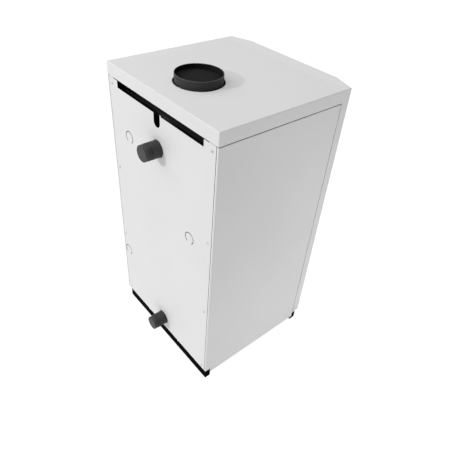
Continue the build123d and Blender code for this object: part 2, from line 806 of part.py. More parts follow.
with BuildPart() as flueway_rear_walls:
    for x in flueway_columns:
        block(
            (x - flueway_outer, furnace_rear - shell_wall, furnace_top - shell_wall),
            (x + flueway_outer, furnace_rear, shell_top),
        )
keep(flueway_rear_walls, "flueway_rear_walls")

# Covers of the water legs between the flueways: the furnace's crown below and the top plate above
leg_spans = [
    (before + flueway_outer, after - flueway_outer)
    for before, after in zip(flueway_columns, flueway_columns[1:])
]
outer_leg = flueway_columns[-1] + flueway_outer
with BuildPart() as water_leg_covers:
    for low_x, high_x in leg_spans + [
        (-furnace_half + shell_wall, -outer_leg),
        (outer_leg, furnace_half - shell_wall),
    ]:
        block(
            (low_x, shell_front + shell_wall, furnace_top - shell_wall),
            (high_x, furnace_rear, furnace_top),
        )
    for low_x, high_x in leg_spans + [(-top_plate_half, -outer_leg), (outer_leg, top_plate_half)]:
        block((low_x, shell_front, shell_top), (high_x, top_plate_rear, shell_top + top_plate))
keep(water_leg_covers, "water_leg_covers")

with BuildPart() as exchanger_top_bars:
    for x in flueway_columns:
        for low_y, high_y in (
            (shell_front, shell_front + shell_wall),
            (furnace_rear - shell_wall, top_plate_rear),
        ):
            block((x - flueway_outer, low_y, shell_top), (x + flueway_outer, high_y, shell_top + top_plate))
keep(exchanger_top_bars, "exchanger_top_bars")

with BuildPart() as water_jacket_floor:
    block(
        (-inner_half, shell_front + shell_wall, shell_bottom),
        (inner_half, shell_rear - shell_wall, shell_bottom + shell_wall),
    )
    block(
        (-furnace_half, shell_front, shell_bottom - 1),
        (furnace_half, furnace_rear, shell_bottom + shell_wall + 1),
        Mode.SUBTRACT,
    )
keep(water_jacket_floor, "water_jacket_floor")

# Flue baffles: a flat plate in each flueway, hung from the top bars by the tongues at its upper corners
baffle_sheet = 1.5
baffle_bottom = 560
baffle_front = -100
baffle_rear = 135
tongue_high = 6
tongue_rest = 2
hood_bottom = shell_top + top_plate
with BuildPart() as flue_baffles:
    for x in flueway_columns:
        block(
            (x - baffle_sheet / 2, baffle_front, baffle_bottom),
            (x + baffle_sheet / 2, baffle_rear, hood_bottom + tongue_high),
        )
        block(
            (x - baffle_sheet / 2, shell_front + shell_wall - tongue_rest, hood_bottom),
            (x + baffle_sheet / 2, furnace_rear - shell_wall + tongue_rest, hood_bottom + tongue_high),
        )
keep(flue_baffles, "flue_baffles")

# Flow and return pipes, with the transport plugs in their ends
plug_head_length = 11
groove = 1
pipe_face = pipe_end - plug_head_length - groove
plug_head_radius = pipe_radius - 0.75
spigot_radius = pipe_bore - 0.3
ring_groove_y = 243.5


def water_pipe(height):
    with BuildPart() as pipe:
        rod((0, shell_rear, height), BACK, pipe_radius, pipe_face - shell_rear)
        chamfer(pipe.faces().sort_by(Axis.Y)[-1].edges(), 0.8)
        rod((0, shell_rear - 1, height), BACK, pipe_bore, pipe_face, Mode.SUBTRACT)
        with BuildSketch(Plane(origin=(0, ring_groove_y, height), z_dir=BACK)):
            Circle(pipe_radius + 1)
            Circle(pipe_radius - 0.7, mode=Mode.SUBTRACT)
        extrude(amount=1.4, mode=Mode.SUBTRACT)
    return pipe


def pipe_cap(height):
    with BuildPart() as cap:
        rod((0, pipe_face + groove, height), BACK, plug_head_radius, plug_head_length)
        fillet(cap.faces().sort_by(Axis.Y)[-1].edges(), 0.9)
        rod((0, pipe_face - 18, height), BACK, spigot_radius, 18 + groove)
        rod((0, pipe_face - 19, height), BACK, spigot_radius - 2.5, 24, Mode.SUBTRACT)
    return cap


for node, height in (("flow", flow_height), ("return", return_height)):
    keep(water_pipe(height), f"{node}_pipe")
    keep(pipe_cap(height), f"{node}_pipe_cap")

# Insulation slabs on the heat exchanger
lagging_half = shell_half + lagging
lagging_low = 62
with BuildPart() as insulation_sides:
    for side in (-1, 1):
        slab_x = sorted([side * shell_half, side * lagging_half])
        block(
            (slab_x[0], shell_front - lagging, lagging_low),
            (slab_x[1], shell_rear + lagging, shell_top),
        )
keep(insulation_sides, "insulation_sides")

with BuildPart() as insulation_rear:
    block((-shell_half, shell_rear, lagging_low), (shell_half, shell_rear + lagging, shell_top))
    for height in (flow_height, return_height):
        rod((0, shell_rear - 1, height), BACK, pipe_radius + 1, lagging + 2, Mode.SUBTRACT)
    block(
        (-pipe_radius - 1, shell_rear - 1, lagging_low - 1),
        (pipe_radius + 1, shell_rear + lagging + 1, return_height),
        Mode.SUBTRACT,
    )
keep(insulation_rear, "insulation_rear")

with BuildPart() as insulation_front:
    block((-shell_half, shell_front - lagging, plate_high + 2), (shell_half, shell_front, shell_top))
keep(insulation_front, "insulation_front")

# Draught hood: a box over the flueways, open to the rear slot, with its deflector inside
hood_half = top_plate_half
hood_front = shell_front
hood_rear = top_plate_rear
hood_top = 905
hood_sheet = 1.5
hood_sill = 864
mouth_half = 193
with BuildPart() as draught_hood:
    block((-hood_half, hood_front, hood_bottom), (hood_half, hood_rear, hood_top))
    fillet(draught_hood.edges().filter_by(Axis.Z), 4)
    block(
        (-hood_half + hood_sheet, hood_front + hood_sheet, hood_bottom - 1),
        (hood_half - hood_sheet, hood_rear - hood_sheet, hood_top - hood_sheet),
        Mode.SUBTRACT,
    )
    block(
        (-mouth_half, hood_rear - 4, hood_sill),
        (mouth_half, hood_rear + 4, hood_top - 10),
        Mode.SUBTRACT,
    )
    rod((0, flue_y, hood_top + 1), DOWN, collar_radius - collar_wall, 4, Mode.SUBTRACT)
keep(draught_hood, "draught_hood")

deflector_height = 850
with BuildPart() as hood_deflector:
    block(
        (-hood_half + 10, -40, deflector_height),
        (hood_half - 10, hood_rear - 8, deflector_height + hood_sheet),
    )
    for side in (-1, 1):
        for y in (-30, hood_rear - 30):
            leg_x = sorted([side * (hood_half - 12), side * (hood_half - 10)])
            block((leg_x[0], y, hood_bottom), (leg_x[1], y + 16, deflector_height + 1))
keep(hood_deflector, "hood_deflector")

# Flue collar and its transport cover
collar_top = lid_top + collar_rise
flange_radius = 82
with BuildPart() as flue_collar:
    rod((0, flue_y, hood_top), UP, collar_radius, collar_top - hood_top)
    rod((0, flue_y, hood_top), UP, flange_radius, hood_sheet)
    rod((0, flue_y, hood_top - 1), UP, collar_radius - collar_wall, collar_top, Mode.SUBTRACT)
    fillet(flue_collar.faces().sort_by(Axis.Z)[-1].edges(), 0.5)
keep(flue_collar, "flue_collar")

cover_radius = collar_radius - collar_wall - 0.3
cover_depth = 12
cover_skirt = 20
skirt_low = collar_top - cover_depth - cover_skirt
with BuildPart() as flue_cover:
    rod((0, flue_y, skirt_low), UP, cover_radius, cover_skirt)
    fillet(flue_cover.faces().sort_by(Axis.Z)[-1].edges(), 1.5)
    rod((0, flue_y, skirt_low - 1), UP, cover_radius - 2, cover_skirt - 1, Mode.SUBTRACT)
keep(flue_cover, "flue_cover")

# Spillage thermostat on the hood
sensor_x = 112
sensor_plate_half = 12
sensor_plate_long = 40
sensor_radius = 9
sensor_rise = 10
blade_inner = 2.5
blade_outer = 4
with BuildPart() as spillage_sensor:
    block(
        (sensor_x - sensor_plate_half, flue_y - sensor_plate_long / 2, hood_top),
        (sensor_x + sensor_plate_half, flue_y + sensor_plate_long / 2, hood_top + sheet),
    )
    rod((sensor_x, flue_y, hood_top), UP, sensor_radius, sensor_rise)
    for side in (-1, 1):
        blade_x = sorted([sensor_x + side * blade_inner, sensor_x + side * blade_outer])
        block(
            (blade_x[0], flue_y - 3, hood_top + sensor_rise - 1),
            (blade_x[1], flue_y + 3, hood_top + sensor_rise + 6),
        )
keep(spillage_sensor, "spillage_sensor")
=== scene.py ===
import bpy
import json
import math
from mathutils import Matrix, Vector


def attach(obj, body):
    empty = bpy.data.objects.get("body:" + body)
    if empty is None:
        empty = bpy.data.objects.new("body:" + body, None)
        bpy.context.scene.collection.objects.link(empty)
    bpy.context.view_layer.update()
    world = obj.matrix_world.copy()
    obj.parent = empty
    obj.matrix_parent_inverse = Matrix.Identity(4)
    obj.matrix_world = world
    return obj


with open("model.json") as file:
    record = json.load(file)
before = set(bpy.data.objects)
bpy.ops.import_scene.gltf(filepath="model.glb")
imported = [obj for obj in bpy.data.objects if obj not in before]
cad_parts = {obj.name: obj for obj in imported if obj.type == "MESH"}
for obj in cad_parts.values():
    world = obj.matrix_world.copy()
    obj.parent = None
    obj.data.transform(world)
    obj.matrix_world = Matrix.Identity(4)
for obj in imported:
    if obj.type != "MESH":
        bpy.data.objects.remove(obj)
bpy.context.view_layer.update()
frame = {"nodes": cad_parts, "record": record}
cad = frame["nodes"]

# The photograph's camera, solved from the casing's edges
VIEW_TURN = 227.38
VIEW_RISE = 39.18
VIEW_ROLL = 4.58
CAMERA_AT = (-0.9065, 0.7844, 1.3896)
FOCAL_PX = 455.0
FRAME_PX = 450
SENSOR = 36.0

UP = Vector((0, 0, 1))
QUARTER = math.pi / 2

# Where things are on the boiler, in metres, as the CAD has them
CASING_HALF = 0.247
CASING_REAR = 0.214
LID_TOP = 0.930
LID_FRONT = -0.2102
SIDE_FRONT = -0.2095
BULGE_FRONT = -0.264
BULGE_HALF = 0.176
STRIP_FRONT = -0.239
FRONT_FOOT = 0.041
SKIN = 0.00095
FRONT_SKIN = 0.0014
FACE_ONLY = 0.00006
TOP_BAND = 0.0004
FLUE_Y = 0.082
COLLAR_RADIUS = 0.065
COLLAR_TOP = 0.953
COLLAR_WALL = 0.0012
RIM_BAND = 0.00035
RING_GROOVE = (0.2434, 0.2450)
RING_EDGE = 0.0004
GAUGE = Vector((0, -0.236, 0.285))
KNOB = Vector((-0.050, -0.263, 0.215))
SHADE_FOOT = 0.846
SHADE_HIGH = 0.020
FASCIA = -0.240
WINDOW_HALF = 0.118
WINDOW_LOW = 0.152
WINDOW_HIGH = 0.328
KNOCKOUTS = ((0.1485, 0.739), (-0.1455, 0.5615), (0.2165, 0.253))
KNOCKOUT_RADIUS = 0.018
SLIT_HALF = 0.0013
BRIDGE_LOW = -0.0149
REAR_PANEL_HALF = 0.240
SIDE_BAND = 0.0006


def photo_camera():
    turn, rise, roll = (math.radians(a) for a in (VIEW_TURN, VIEW_RISE, VIEW_ROLL))
    back = Vector((math.sin(turn) * math.cos(rise), -math.cos(turn) * math.cos(rise), math.sin(rise)))
    level_right = UP.cross(back).normalized()
    level_up = back.cross(level_right)
    right = math.cos(roll) * level_right + math.sin(roll) * level_up
    up = math.cos(roll) * level_up - math.sin(roll) * level_right
    data = bpy.data.cameras.new("camera")
    data.sensor_width = SENSOR
    data.lens = SENSOR * FOCAL_PX / FRAME_PX
    data.clip_start, data.clip_end = 0.05, 60
    camera = bpy.data.objects.new("camera", data)
    bpy.context.scene.collection.objects.link(camera)
    camera.matrix_world = Matrix.Translation(CAMERA_AT) @ Matrix((right, up, back)).transposed().to_4x4()
    bpy.context.scene.camera = camera


photo_camera()

# Studio: a white floor and backdrop, a room brighter overhead, two distant lights and three soft boxes
KEY_TRAVEL = (-0.32, -1.0, -0.41)
KEY_STRENGTH = 0.91
KEY_SPREAD = math.radians(0.7)
OVERHEAD_STRENGTH = 1.03
OVERHEAD_SPREAD = math.radians(26)
LAMP_HEIGHT = 3
BODY_MIDDLE = Vector((0, 0, 0.45))
FLOOR_SIZE = 30
FLOOR_PAINT = 0.10
FLOOR_GLOW = 0.97
ROOM_LEAN = (0.30, 0.22, 0.93)
ROOM_LEVELS = ((0.0, 0.02), (0.45, 0.02), (0.62, 0.07), (0.80, 0.38), (0.93, 0.54), (1.0, 0.90))


def grey(value):
    return (value, value, value)


def stops(band, pairs):
    while len(band.elements) < len(pairs):
        band.elements.new(0.5)
    for element, (at, colour) in zip(band.elements, pairs):
        element.position = at
        element.color = (*colour, 1)


def studio():
    scene = bpy.context.scene
    scene.view_settings.view_transform = "Standard"
    room = bpy.data.worlds.new("room")
    room.use_nodes = True
    tree = room.node_tree
    where = tree.nodes.new("ShaderNodeTexCoord")
    along = tree.nodes.new("ShaderNodeVectorMath")
    along.operation = "DOT_PRODUCT"
    along.inputs[1].default_value = ROOM_LEAN
    height = tree.nodes.new("ShaderNodeMapRange")
    height.inputs["From Min"].default_value = -1
    ramp = tree.nodes.new("ShaderNodeValToRGB")
    stops(ramp.color_ramp, [(at, grey(level)) for at, level in ROOM_LEVELS])
    tree.links.new(where.outputs["Generated"], along.inputs[0])
    tree.links.new(along.outputs["Value"], height.inputs["Value"])
    tree.links.new(height.outputs["Result"], ramp.inputs["Fac"])
    tree.links.new(ramp.outputs["Color"], tree.nodes["Background"].inputs["Color"])
    backdrop = tree.nodes.new("ShaderNodeBackground")
    seen = tree.nodes.new("ShaderNodeLightPath")
    either = tree.nodes.new("ShaderNodeMixShader")
    tree.links.new(seen.outputs["Is Camera Ray"], either.inputs["Fac"])
    tree.links.new(tree.nodes["Background"].outputs["Background"], either.inputs[1])
    tree.links.new(backdrop.outputs["Background"], either.inputs[2])
    tree.links.new(either.outputs["Shader"], tree.nodes["World Output"].inputs["Surface"])
    backdrop.inputs["Color"].default_value = (1, 1, 1, 1)
    scene.world = room
    bpy.ops.mesh.primitive_plane_add(size=FLOOR_SIZE, location=(0, 0, 0))
    floor = bpy.context.object
    floor.name = "studio_floor"
    paint = bpy.data.materials.new("studio_floor")
    paint.use_nodes = True
    shader = paint.node_tree.nodes["Principled BSDF"]
    shader.inputs["Base Color"].default_value = (*grey(FLOOR_PAINT), 1)
    shader.inputs["Roughness"].default_value = 0.9
    shader.inputs["Specular IOR Level"].default_value = 0.0
    shader.inputs["Emission Color"].default_value = (1, 1, 1, 1)
    shader.inputs["Emission Strength"].default_value = FLOOR_GLOW
    floor.data.materials.append(paint)
    distant_light("key", KEY_STRENGTH, KEY_SPREAD, KEY_TRAVEL)
    distant_light("overhead", OVERHEAD_STRENGTH, OVERHEAD_SPREAD, -UP)
    soft_box("corner_box", (1.25, 0.75, 1.75), 0.8, 4.3)
    soft_box("side_fill", (-0.9, -0.9, 0.14), 0.3, 1.4)
    soft_box("low_fill", (-0.8, 0.0, 0.10), 0.12, 0.28)


def hang(data, at, travel):
    light = bpy.data.objects.new(data.name, data)
    light.location = at
    light.rotation_mode = "QUATERNION"
    light.rotation_quaternion = Vector(travel).to_track_quat("-Z", "Y")
    light.visible_camera = False
    bpy.context.scene.collection.objects.link(light)


def distant_light(name, strength, spread, travel):
    data = bpy.data.lights.new(name, "SUN")
    data.energy = strength
    data.angle = spread
    hang(data, (0, 0, LAMP_HEIGHT), travel)


def soft_box(name, at, size, power):
    data = bpy.data.lights.new(name, "AREA")
    data.shape = "SQUARE"
    data.size = size
    data.energy = power
    hang(data, at, BODY_MIDDLE - Vector(at))


studio()


class Finish:
    """One procedural finish on Object coordinates: colour, sheen and relief."""

    def __init__(self, name, metal=0.0, specular=0.5):
        self.material = bpy.data.materials.new(name)
        self.material.use_nodes = True
        self.tree = self.material.node_tree
        self.shader = self.tree.nodes["Principled BSDF"]
        self.shader.inputs["Metallic"].default_value = metal
        self.shader.inputs["Specular IOR Level"].default_value = specular
        self.place = self.tree.nodes.new("ShaderNodeTexCoord").outputs["Object"]
        self.normal = None

    def wire(self, source, target):
        self.tree.links.new(source, target)

    def noise(self, scale, detail=3.0, place=None):
        made = self.tree.nodes.new("ShaderNodeTexNoise")
        made.inputs["Scale"].default_value = scale
        made.inputs["Detail"].default_value = detail
        self.wire(place or self.place, made.inputs["Vector"])
        return made.outputs["Fac"]

    def cells(self, scale, feature="F1"):
        made = self.tree.nodes.new("ShaderNodeTexVoronoi")
        made.feature = feature
        made.inputs["Scale"].default_value = scale
        self.wire(self.place, made.inputs["Vector"])
        return made.outputs["Distance"]

    def drawn_out(self, scale):
        made = self.tree.nodes.new("ShaderNodeMapping")
        made.inputs["Scale"].default_value = scale
        self.wire(self.place, made.inputs["Vector"])
        return made.outputs["Vector"]

    def reckon(self, operation, first, second=None, third=None):
        made = self.tree.nodes.new("ShaderNodeMath")
        made.operation = operation
        for socket, value in zip(made.inputs, (first, second, third)):
            if value is None:
                continue
            if isinstance(value, (int, float)):
                socket.default_value = value
            else:
                self.wire(value, socket)
        return made.outputs["Value"]

    def axes(self):
        split = self.tree.nodes.new("ShaderNodeSeparateXYZ")
        self.wire(self.place, split.inputs["Vector"])
        return split.outputs["X"], split.outputs["Y"], split.outputs["Z"]

    def from_flue(self):
        """How far a point is from the flue's middle line, in metres."""
        x, y, _ = self.axes()
        y = self.reckon("SUBTRACT", y, FLUE_Y)
        spread = self.reckon("ADD", self.reckon("MULTIPLY", x, x), self.reckon("MULTIPLY", y, y))
        return self.reckon("SQRT", spread)

    def tint(self, source, *pairs):
        made = self.tree.nodes.new("ShaderNodeValToRGB")
        stops(made.color_ramp, pairs)
        self.wire(source, made.inputs["Fac"])
        return made.outputs["Color"]

    def blend(self, share, first, second):
        made = self.tree.nodes.new("ShaderNodeMix")
        made.data_type = "RGBA"
        self.wire(share, made.inputs["Factor"])
        sockets = [socket for socket in made.inputs if socket.type == "RGBA"]
        for socket, value in zip(sockets, (first, second)):
            if isinstance(value, tuple):
                socket.default_value = (*value, 1)
            else:
                self.wire(value, socket)
        return next(out for out in made.outputs if out.type == "RGBA")

    def colour(self, source):
        self.wire(source, self.shader.inputs["Base Color"])

    def sheen(self, source, low, high):
        made = self.tree.nodes.new("ShaderNodeMapRange")
        made.inputs["To Min"].default_value = low
        made.inputs["To Max"].default_value = high
        self.wire(source, made.inputs["Value"])
        self.wire(made.outputs["Result"], self.shader.inputs["Roughness"])

    def relief(self, source, depth):
        made = self.tree.nodes.new("ShaderNodeBump")
        made.inputs["Distance"].default_value = depth
        self.wire(source, made.inputs["Height"])
        if self.normal:
            self.wire(self.normal, made.inputs["Normal"])
        self.normal = made.outputs["Normal"]
        self.wire(self.normal, self.shader.inputs["Normal"])


def cut_edges(finish, x, z):
    """Painted shade round the rear panel's knock-out slits and down its side edges, where the gaps fall
    dark.
    """
    marked = finish.reckon("GREATER_THAN", finish.reckon("ABSOLUTE", x), REAR_PANEL_HALF - SIDE_BAND)
    for at_x, at_z in KNOCKOUTS:
        across = finish.reckon("SUBTRACT", x, at_x)
        up = finish.reckon("SUBTRACT", z, at_z)
        spread = finish.reckon("MULTIPLY_ADD", across, across, finish.reckon("MULTIPLY", up, up))
        off = finish.reckon("SUBTRACT", finish.reckon("SQRT", spread), KNOCKOUT_RADIUS)
        near = finish.reckon("LESS_THAN", finish.reckon("ABSOLUTE", off), SLIT_HALF)
        slit = finish.reckon("MULTIPLY", near, finish.reckon("GREATER_THAN", up, BRIDGE_LOW))
        marked = finish.reckon("MAXIMUM", marked, slit)
    return marked


def panel_coat(name, planes, skin=SKIN, inner=0.05, top=None, shade_slits=False):
    """White powder coat on the outer skin and darker primed sheet on the inner one; the reach of the white
    and the inner tone are set for painted shade in the seams and slits, and the lighter top band is a
    painted highlight.
    """
    finish = Finish(name, specular=0.35)
    side_x, y, z = finish.axes()
    x = finish.reckon("ABSOLUTE", side_x)
    proud = None
    for across, along, up, limit in planes:
        reach = finish.reckon("MULTIPLY_ADD", x, across, -limit)
        reach = finish.reckon("MULTIPLY_ADD", y, along, reach)
        reach = finish.reckon("MULTIPLY_ADD", z, up, reach)
        proud = reach if proud is None else finish.reckon("MAXIMUM", proud, reach)
    outer = finish.reckon("GREATER_THAN", proud, -skin)
    # the slits and side edges of the rear panel take the dark inner tone: painted shade
    if shade_slits:
        unshaded = finish.reckon("LESS_THAN", cut_edges(finish, side_x, z), 0.5)
        outer = finish.reckon("MULTIPLY", outer, unshaded)
    white = finish.tint(finish.noise(5.0, 4.0), (0.35, grey(0.770)), (0.65, (0.785, 0.785, 0.783)))
    # a lighter band on the top face, used on the front panel: a painted highlight
    if top:
        white = finish.blend(finish.reckon("GREATER_THAN", z, LID_TOP - TOP_BAND), white, grey(top))
    bare = finish.tint(finish.noise(25.0, 4.0), (0.3, grey(0.85 * inner)), (0.7, grey(1.2 * inner)))
    finish.colour(finish.blend(outer, bare, white))
    finish.sheen(finish.noise(60.0), 0.50, 0.60)
    finish.relief(finish.noise(3.2, 1.0), 0.0008)
    finish.relief(finish.noise(900.0, 2.0), 0.00004)
    return finish.material


SLANT = math.atan2(STRIP_FRONT - BULGE_FRONT, CASING_HALF - BULGE_HALF)
SLANT_REACH = math.sin(SLANT) * BULGE_HALF - math.cos(SLANT) * BULGE_FRONT
LID_PLANES = [
    (1, 0, 0, CASING_HALF),
    (0, 1, 0, CASING_REAR),
    (0, -1, 0, -LID_FRONT),
    (0, 0, 1, LID_TOP),
]
# the side panels have no plane at their top, so their top fold under the lid takes the dark inner tone:
# painted shade in the seam
SIDE_PLANES = [(1, 0, 0, CASING_HALF), (0, 1, 0, CASING_REAR), (0, -1, 0, -SIDE_FRONT)]
REAR_PLANES = [(0, 1, 0, CASING_REAR)]
FRONT_PLANES = [
    (1, 0, 0, CASING_HALF),
    (0, -1, 0, -BULGE_FRONT),
    (math.sin(SLANT), -math.cos(SLANT), 0, SLANT_REACH),
    (0, 0, 1, LID_TOP),
    (0, 0, -1, -FRONT_FOOT),
]


def plain_coat(name, low, high, sheen, specular=0.3, grain=700.0, depth=0.00005):
    """A coat or moulding with a slow change of tone and a fine grain."""
    finish = Finish(name, specular=specular)
    finish.colour(finish.tint(finish.noise(16.0, 5.0), (0.3, low), (0.7, high)))
    finish.sheen(finish.noise(90.0), *sheen)
    finish.relief(finish.noise(grain, 3.0), depth)
    return finish.material


def pipe_scale():
    """Dark mill scale, with painted shade in patches along the ring groove."""
    finish = Finish("pipe_mill_scale", specular=0.3)
    y = finish.axes()[1]
    scale = finish.tint(finish.noise(70.0, 6.0), (0.3, (0.028, 0.029, 0.030)), (0.7, (0.042, 0.042, 0.044)))
    middle = sum(RING_GROOVE) / 2
    # patches of near black in the ring groove: painted shade
    off_ring = finish.reckon("ABSOLUTE", finish.reckon("SUBTRACT", y, middle))
    ring = finish.reckon("LESS_THAN", off_ring, middle - RING_GROOVE[0] + RING_EDGE)
    ring = finish.reckon("MULTIPLY", ring, finish.reckon("GREATER_THAN", finish.noise(45.0, 2.0), 0.5))
    finish.colour(finish.blend(ring, scale, grey(0.006)))
    finish.sheen(finish.noise(120.0, 4.0), 0.45, 0.65)
    finish.relief(finish.noise(420.0, 4.0), 0.00008)
    return finish.material


def collar_coat():
    """Black coat with a painted highlight on the rim's top face and painted shade on the inside."""
    finish = Finish("flue_collar_coat", specular=0.3)
    z = finish.axes()[2]
    inside = finish.reckon("LESS_THAN", finish.from_flue(), COLLAR_RADIUS - COLLAR_WALL)
    rim = finish.reckon("GREATER_THAN", z, COLLAR_TOP - RIM_BAND)
    coat = finish.tint(finish.noise(14.0, 5.0), (0.3, grey(0.037)), (0.7, grey(0.045)))
    # the inside of the collar is painted near black: painted shade
    painted_inside_shade = finish.blend(inside, coat, grey(0.008))
    # the rim's top face is painted light grey: a painted highlight
    finish.colour(finish.blend(rim, painted_inside_shade, grey(0.16)))
    finish.sheen(finish.noise(90.0), 0.55, 0.7)
    finish.relief(finish.noise(700.0, 2.0), 0.00005)
    return finish.material


def cover_moulding():
    """The flue's cover, lighter in the middle as a painted pool of light and darkened towards the wall of
    the collar as painted shade.
    """
    finish = Finish("flue_cover_moulding", specular=0.15)
    out = finish.reckon("DIVIDE", finish.from_flue(), COLLAR_RADIUS)
    uneven = finish.reckon("MULTIPLY_ADD", finish.noise(30.0, 4.0), 0.10, out)
    # the tone falls from the middle to the collar's wall: painted light in the middle, painted shade near
    # the wall
    tone = finish.tint(
        uneven, (0.0, grey(0.012)), (0.68, grey(0.0105)), (0.90, grey(0.003)), (1.0, grey(0.001))
    )
    finish.colour(tone)
    finish.sheen(finish.noise(90.0), 0.7, 0.85)
    finish.relief(finish.noise(900.0, 2.0), 0.00004)
    return finish.material


def sooty_sheet():
    """Stove-blacked sheet, painted darker towards the foot of its rear wall: painted shade."""
    finish = Finish("sooty_sheet", specular=0.2)
    z = finish.axes()[2]
    # the sheet darkens to near black towards the bottom: painted shade
    up = finish.reckon("MULTIPLY_ADD", z, 1 / SHADE_HIGH, -SHADE_FOOT / SHADE_HIGH)
    uneven = finish.reckon("MULTIPLY_ADD", finish.noise(20.0, 4.0), 0.2, up)
    finish.colour(finish.tint(uneven, (0.1, grey(0.001)), (1.0, grey(0.045))))
    finish.sheen(finish.noise(90.0), 0.6, 0.75)
    finish.relief(finish.noise(500.0, 3.0), 0.00006)
    return finish.material


def plated(name, low, high, sheen, cell=90.0):
    """Zinc or alloy, with a faint crystal pattern."""
    finish = Finish(name, metal=1.0)
    finish.colour(finish.tint(finish.cells(cell), (0.1, low), (0.7, high)))
    finish.sheen(finish.noise(35.0, 4.0), *sheen)
    finish.relief(finish.noise(300.0, 3.0), 0.00005)
    return finish.material


def drawn_metal(name, low, high, along, sheen):
    """Metal with fine drawn or turned lines along one direction."""
    finish = Finish(name, metal=1.0)
    lines = finish.noise(60.0, 4.0, finish.drawn_out(along))
    finish.colour(finish.tint(lines, (0.3, low), (0.7, high)))
    finish.sheen(lines, *sheen)
    finish.relief(lines, 0.00003)
    return finish.material


def foil():
    """Crinkled foil facing over mineral wool."""
    finish = Finish("foil_facing", metal=1.0)
    finish.colour(finish.tint(finish.noise(12.0, 4.0), (0.3, grey(0.62)), (0.7, (0.74, 0.74, 0.75))))
    finish.sheen(finish.noise(50.0, 3.0), 0.26, 0.44)
    finish.relief(finish.cells(46.0, "DISTANCE_TO_EDGE"), 0.0012)
    finish.relief(finish.noise(180.0, 3.0), 0.0003)
    return finish.material


def clear_glass():
    finish = Finish("clear_glass")
    finish.shader.inputs["Transmission Weight"].default_value = 1.0
    finish.shader.inputs["IOR"].default_value = 1.45
    finish.colour(finish.tint(finish.noise(40.0), (0.3, (0.95, 0.97, 0.97)), (0.7, (0.97, 0.98, 0.98))))
    finish.sheen(finish.noise(160.0), 0.01, 0.05)
    return finish.material


DARK_MOULDING = plain_coat("dark_moulding", grey(0.044), grey(0.054), (0.5, 0.62), 0.3, 1400.0, 0.00004)
RAIL_BLACK = plain_coat("rail_black", grey(0.0012), grey(0.002), (0.85, 0.95), 0.02, 500.0)
PRINT_INK = plain_coat("print_ink", grey(0.02), grey(0.03), (0.6, 0.7), 0.2, 1500.0, 0.00001)
WHITE_MARK = plain_coat("white_mark", grey(0.78), grey(0.84), (0.5, 0.6), 0.3, 1500.0, 0.00001)
SOFT_RUBBER = plain_coat("soft_rubber", grey(0.018), grey(0.030), (0.7, 0.85), 0.25, 900.0)
ZINC = plated("zinc_plate", (0.50, 0.52, 0.53), (0.66, 0.68, 0.69), (0.28, 0.46))
FINISHES = {
    "black_coat": plain_coat("black_stove_coat", grey(0.024), grey(0.033), (0.5, 0.68)),
    "pipe_black": pipe_scale(),
    "dark_plastic": DARK_MOULDING,
    "fascia_plastic": plain_coat(
        "fascia_moulding", (0.10, 0.105, 0.11), (0.125, 0.13, 0.135), (0.45, 0.6), 0.4, 1100.0
    ),
    "zinc_steel": ZINC,
    "spring_steel": drawn_metal("spring_steel", grey(0.36), grey(0.50), (1, 10, 1), (0.24, 0.42)),
    "stainless": drawn_metal(
        "stainless_sheet", (0.46, 0.45, 0.44), (0.60, 0.59, 0.58), (8, 1, 8), (0.26, 0.44)
    ),
    "primer_steel": plain_coat(
        "heat_primer", (0.085, 0.088, 0.095), (0.125, 0.128, 0.135), (0.6, 0.8), 0.25, 260.0, 0.00012
    ),
    "valve_alloy": plated("cast_alloy", (0.48, 0.49, 0.50), (0.62, 0.63, 0.64), (0.42, 0.60), 420.0),
    "yellow_pipe": plain_coat(
        "gas_pipe_coat", (0.50, 0.36, 0.05), (0.62, 0.46, 0.08), (0.35, 0.5), 0.4, 420.0
    ),
    "brass": drawn_metal(
        "turned_brass", (0.62, 0.42, 0.16), (0.78, 0.56, 0.24), (1, 12, 1), (0.18, 0.34)
    ),
    "foil_wool": foil(),
    "chrome": drawn_metal("bright_plate", (0.70, 0.71, 0.72), (0.78, 0.79, 0.80), (2, 2, 2), (0.06, 0.16)),
    "dial_white": plain_coat(
        "dial_card", (0.83, 0.83, 0.81), (0.87, 0.87, 0.85), (0.45, 0.55), 0.3, 1800.0, 0.00001
    ),
    "clear_glass": clear_glass(),
    "rubber": SOFT_RUBBER,
    "ceramic": plain_coat(
        "glazed_ceramic", (0.80, 0.78, 0.72), (0.86, 0.84, 0.80), (0.2, 0.35), 0.5, 700.0, 0.00002
    ),
    "sensor_body": plain_coat(
        "phenolic", (0.05, 0.035, 0.025), (0.07, 0.05, 0.035), (0.4, 0.55), 0.4, 800.0
    ),
}
SIDE_COAT = panel_coat("side_panel_coat", SIDE_PLANES)
NODE_FINISHES = {
    "top_cover": panel_coat("lid_coat", LID_PLANES),
    "left_side_panel": SIDE_COAT,
    "right_side_panel": SIDE_COAT,
    # the rear panel's white stops at its face, so the walls of its slot and slits take the near-black inner
    # tone: painted shade
    "rear_panel": panel_coat("rear_panel_coat", REAR_PLANES, FACE_ONLY, 0.02, shade_slits=True),
    # the front panel's top face is tinted lighter: a painted highlight
    "front_panel": panel_coat("front_panel_coat", FRONT_PLANES, FRONT_SKIN, 0.30, 0.795),
    "rear_base_rail": RAIL_BLACK,
    "front_base_rail": RAIL_BLACK,
    "rail_end_plugs": RAIL_BLACK,
    "flue_collar": collar_coat(),
    "flue_cover": cover_moulding(),
    "hood_deflector": plain_coat("aluminised_sheet", grey(0.22), grey(0.28), (0.5, 0.65), 0.3, 400.0),
    "draught_hood": sooty_sheet(),
    "rear_panel_screws": plain_coat(
        "painted_screw_head", grey(0.66), grey(0.74), (0.4, 0.55), 0.4, 900.0, 0.00003
    ),
}


